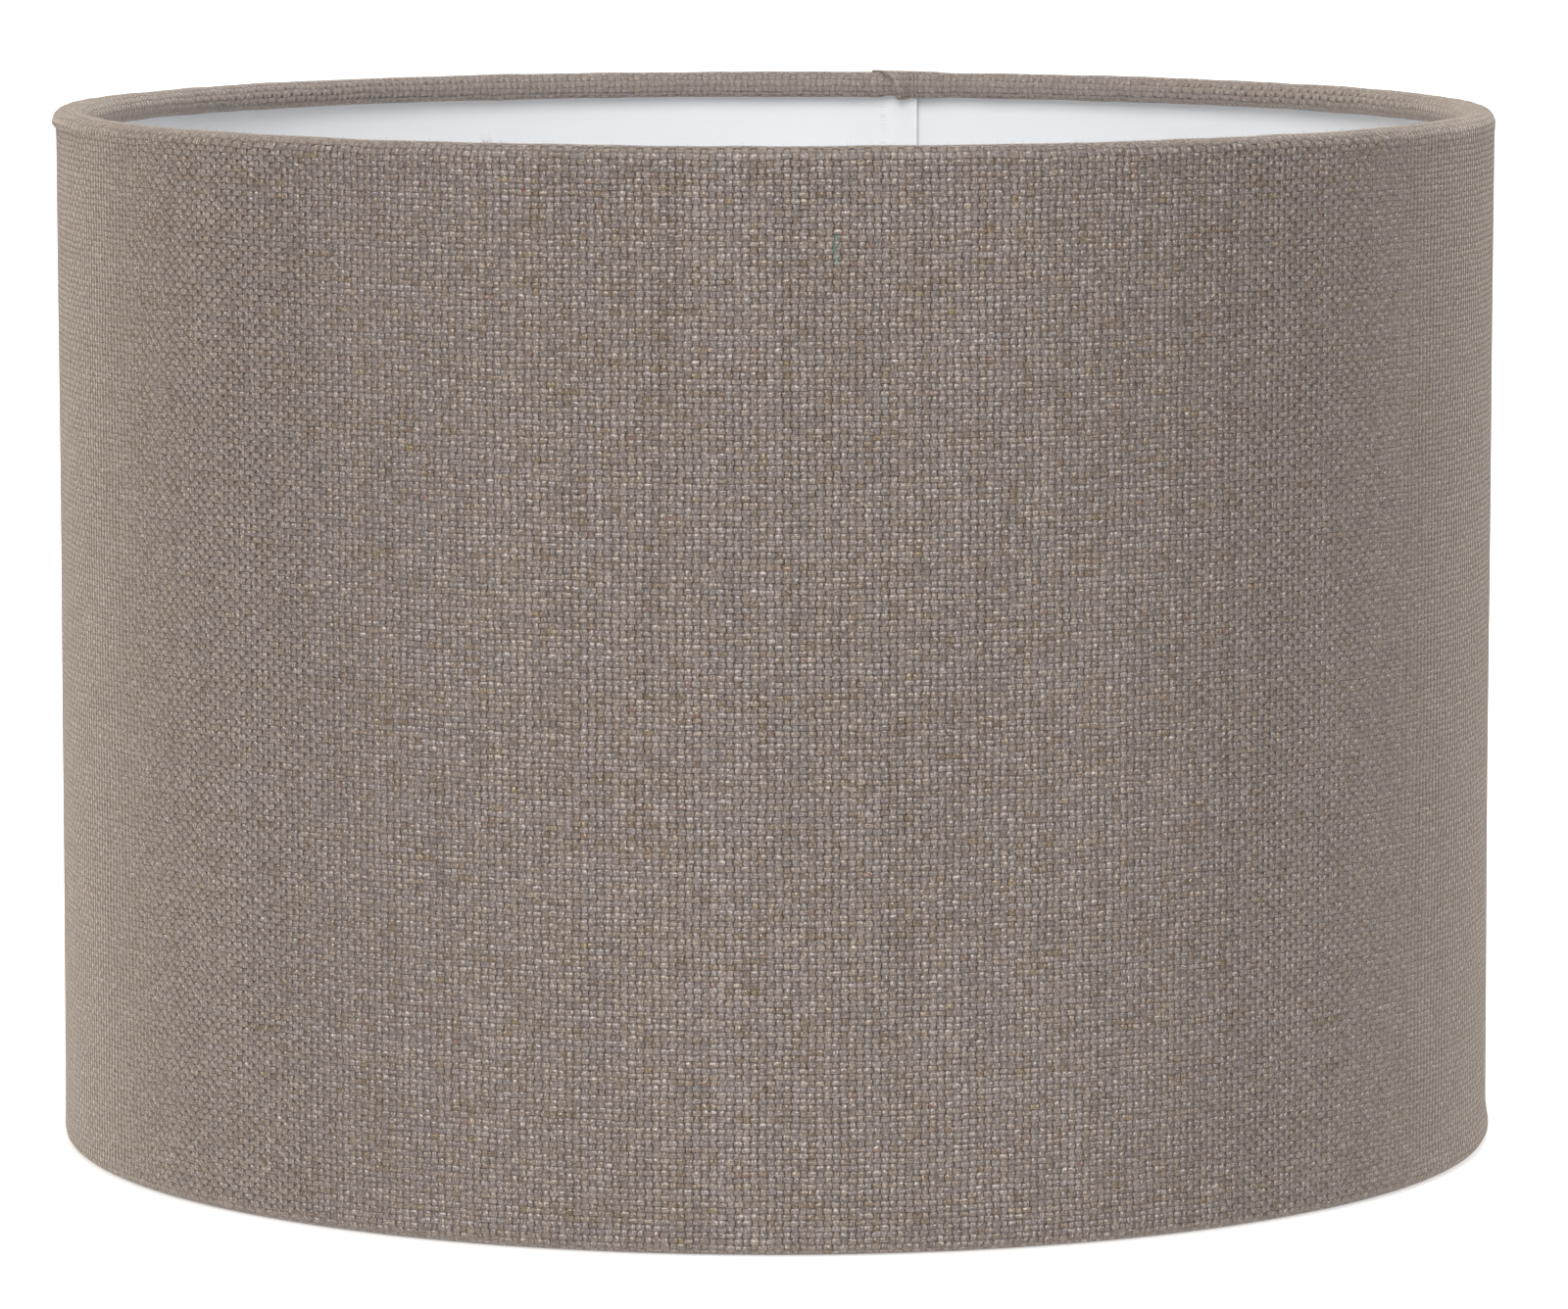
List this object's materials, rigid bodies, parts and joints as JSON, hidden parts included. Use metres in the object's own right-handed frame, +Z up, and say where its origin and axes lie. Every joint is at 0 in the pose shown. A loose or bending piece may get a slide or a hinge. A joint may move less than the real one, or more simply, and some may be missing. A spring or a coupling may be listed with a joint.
{
  "type": "lamp shade",
  "caption": "Drum lamp shade of woven linen on a white plastic liner, its edges rolled over wire rings, with a recessed spider fitter and a lift-out reducer ring.",
  "frame": {"origin": "on the shade's axis, in the plane of the bottom rolled edge that it stands on", "axes": "+Z up along the shade's axis; -Y is the front; the seam is at the back, on the +Y side, a little towards +X"},
  "size_m": [0.25, 0.25, 0.18],
  "materials": {
    "cover_linen": "plain-woven slubby linen, taupe, slight sheen on the floats",
    "liner_plastic": "white satin plastic sheet",
    "seam_tape": "clear double-sided film tape",
    "ring_tape": "white double-sided tissue tape",
    "ring_steel": "bright drawn wire, light oil film",
    "spider_paint": "white powder coat over wire",
    "fitter_paint": "white powder coat over pressed steel",
    "weld_paint": "resistance weld under white powder coat",
    "reducer_plastic": "moulded white thermoplastic"
  },
  "bodies": {
    "shade": {"fabric_cover": "cover_linen", "liner_sheet": "liner_plastic", "liner_seam_tape": "seam_tape", "top_ring_wire": "ring_steel", "bottom_ring_wire": "ring_steel", "top_ring_tape": "ring_tape", "bottom_ring_tape": "ring_tape", "spider_arm_1": "spider_paint", "spider_arm_2": "spider_paint", "spider_arm_3": "spider_paint", "fitter_ring": "fitter_paint", "arm_ring_welds": "weld_paint", "arm_fitter_welds": "weld_paint"},
    "reducer": {"reducer_ring": "reducer_plastic"}
  },
  "joints": [
    {"name": "reducer_lift", "type": "slide", "parent": "shade", "child": "reducer", "axis": [0, 0, 1], "range_m": [0, 0.165]}
  ]
}
